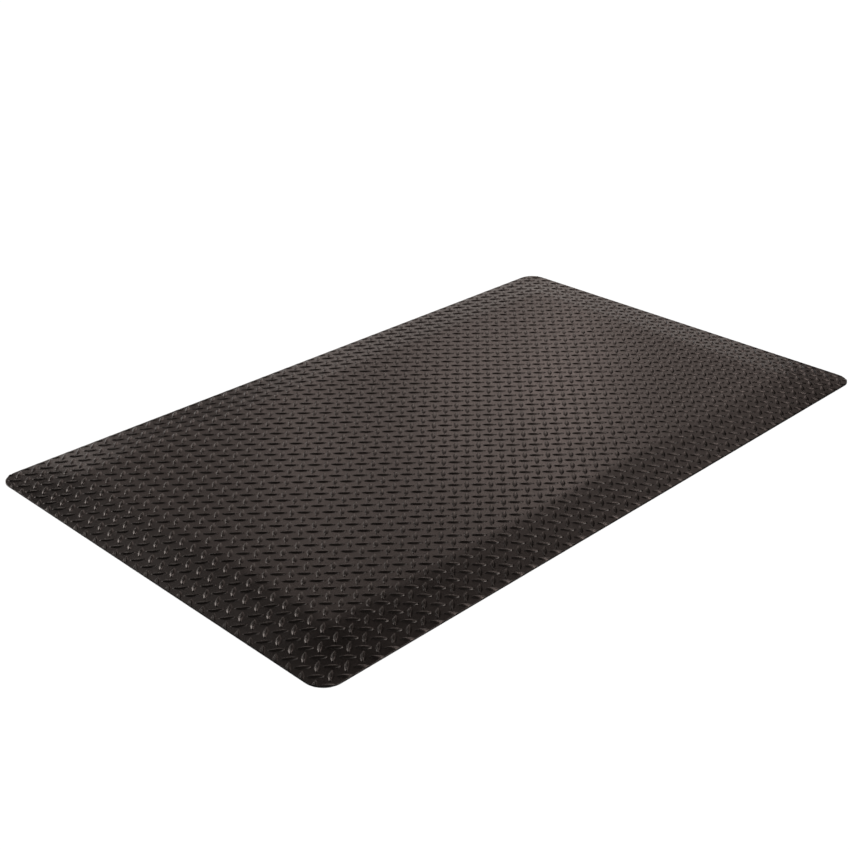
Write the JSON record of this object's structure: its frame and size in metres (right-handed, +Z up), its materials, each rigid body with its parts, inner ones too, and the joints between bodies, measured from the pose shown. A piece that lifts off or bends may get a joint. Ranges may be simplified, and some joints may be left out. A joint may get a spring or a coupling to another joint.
{
  "type": "anti fatigue mat",
  "caption": "Cushioned floor mat for standing work: a diamond-plate vinyl sheet with rounded corners and bevelled edges, bonded over a closed-cell sponge core.",
  "frame": {"origin": "on the floor, under the middle of the mat", "axes": "+X along the mat's length, +Y across its width, +Z up out of the tread"},
  "size_m": [1.524, 0.9144, 0.0143],
  "materials": {
    "tread_vinyl": "semi-matt solid vinyl, warm black, embossed with a diamond-plate tread",
    "laminating_film": "thin cloudy adhesive film",
    "closed_cell_sponge": "matt charcoal closed-cell sponge"
  },
  "bodies": {
    "root": {"tread_sheet": "tread_vinyl", "bond_film": "laminating_film", "sponge_core": "closed_cell_sponge"}
  },
  "joints": []
}
